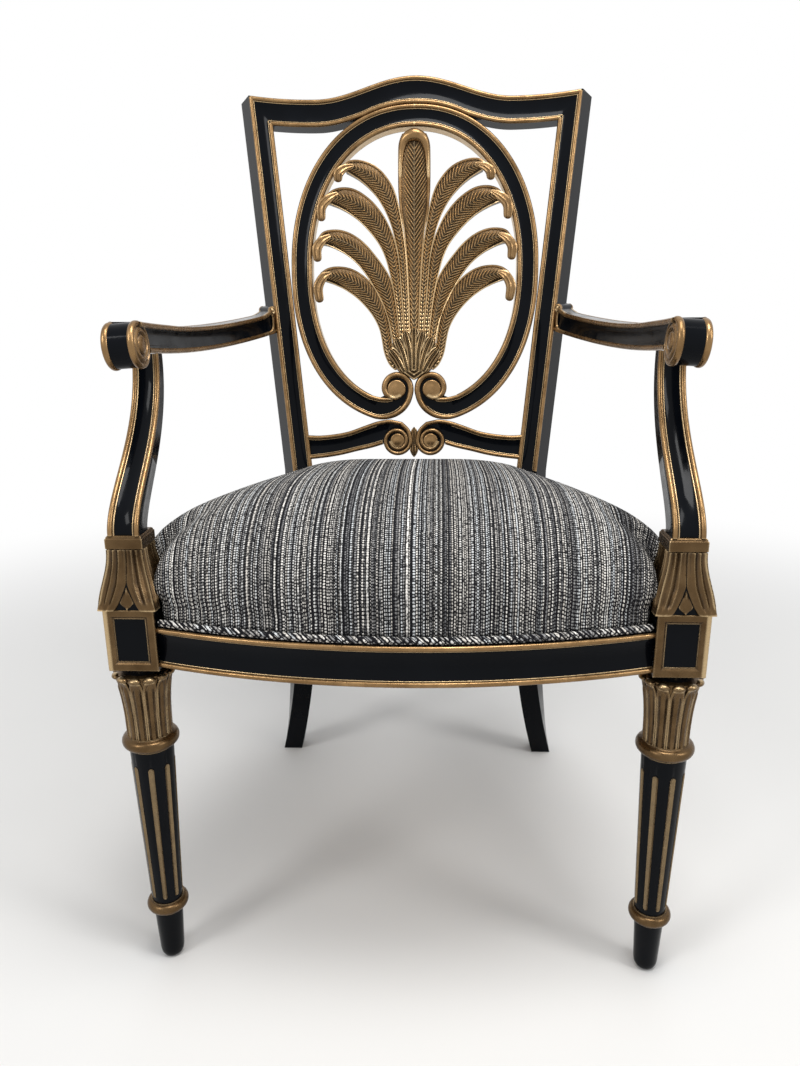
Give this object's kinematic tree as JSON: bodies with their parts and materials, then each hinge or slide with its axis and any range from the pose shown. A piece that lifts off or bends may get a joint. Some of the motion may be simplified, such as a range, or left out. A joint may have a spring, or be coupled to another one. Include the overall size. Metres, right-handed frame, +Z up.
{
  "type": "open armchair",
  "caption": "Open armchair with an ebonised, parcel-gilt frame, an oval back holding a carved feather plume, scrolled arms, turned fluted front legs and a striped upholstered seat.",
  "frame": {"origin": "on the floor, under the centre of the chair's overall box", "axes": "+Z up, -Y the way the sitter faces, +X to the right as seen from the front"},
  "size_m": [0.5846, 0.5514, 0.9938],
  "materials": {
    "ebonised_wood": "blue-black gloss lacquer with gilt mouldings",
    "gilt_wood": "antique gilding, dark in the hollows",
    "frame_wood": "unfinished beech",
    "plywood": "unfinished plywood",
    "seat_foam": "open-cell foam",
    "striped_fabric": "coarse woven stripe in black, grey and off-white",
    "screw_steel": "plain steel"
  },
  "bodies": {
    "root": {"arm_left": "ebonised_wood", "arm_right": "ebonised_wood", "arm_screw_left": "screw_steel", "arm_screw_right": "screw_steel", "arm_support_left": "ebonised_wood", "arm_support_right": "ebonised_wood", "corner_block_front_left": "frame_wood", "corner_block_front_right": "frame_wood", "corner_block_rear_left": "frame_wood", "corner_block_rear_right": "frame_wood", "corner_screw_1_front_left": "screw_steel", "corner_screw_1_front_right": "screw_steel", "corner_screw_1_rear_left": "screw_steel", "corner_screw_1_rear_right": "screw_steel", "corner_screw_2_front_left": "screw_steel", "corner_screw_2_front_right": "screw_steel", "corner_screw_2_rear_left": "screw_steel", "corner_screw_2_rear_right": "screw_steel", "crest_dowel_left_1": "frame_wood", "crest_dowel_left_2": "frame_wood", "crest_dowel_right_1": "frame_wood", "crest_dowel_right_2": "frame_wood", "crest_rail": "ebonised_wood", "feather_centre": "gilt_wood", "feather_left_1": "gilt_wood", "feather_left_2": "gilt_wood", "feather_left_3": "gilt_wood", "feather_left_4": "gilt_wood", "feather_right_1": "gilt_wood", "feather_right_2": "gilt_wood", "feather_right_3": "gilt_wood", "feather_right_4": "gilt_wood", "front_leg_left": "ebonised_wood", "front_leg_right": "ebonised_wood", "front_seat_rail": "ebonised_wood", "lower_back_rail": "ebonised_wood", "oval_hoop_left": "ebonised_wood", "oval_hoop_right": "ebonised_wood", "plume_sheath": "gilt_wood", "rear_post_left": "ebonised_wood", "rear_post_right": "ebonised_wood", "rear_seat_rail": "ebonised_wood", "seat_board": "plywood", "seat_cover": "striped_fabric", "seat_foam": "seat_foam", "seat_screw_front_left": "screw_steel", "seat_screw_front_right": "screw_steel", "seat_screw_rear_left": "screw_steel", "seat_screw_rear_right": "screw_steel", "seat_welt_front": "striped_fabric", "seat_welt_left": "striped_fabric", "seat_welt_right": "striped_fabric", "side_seat_rail_left": "ebonised_wood", "side_seat_rail_right": "ebonised_wood"}
  },
  "joints": []
}
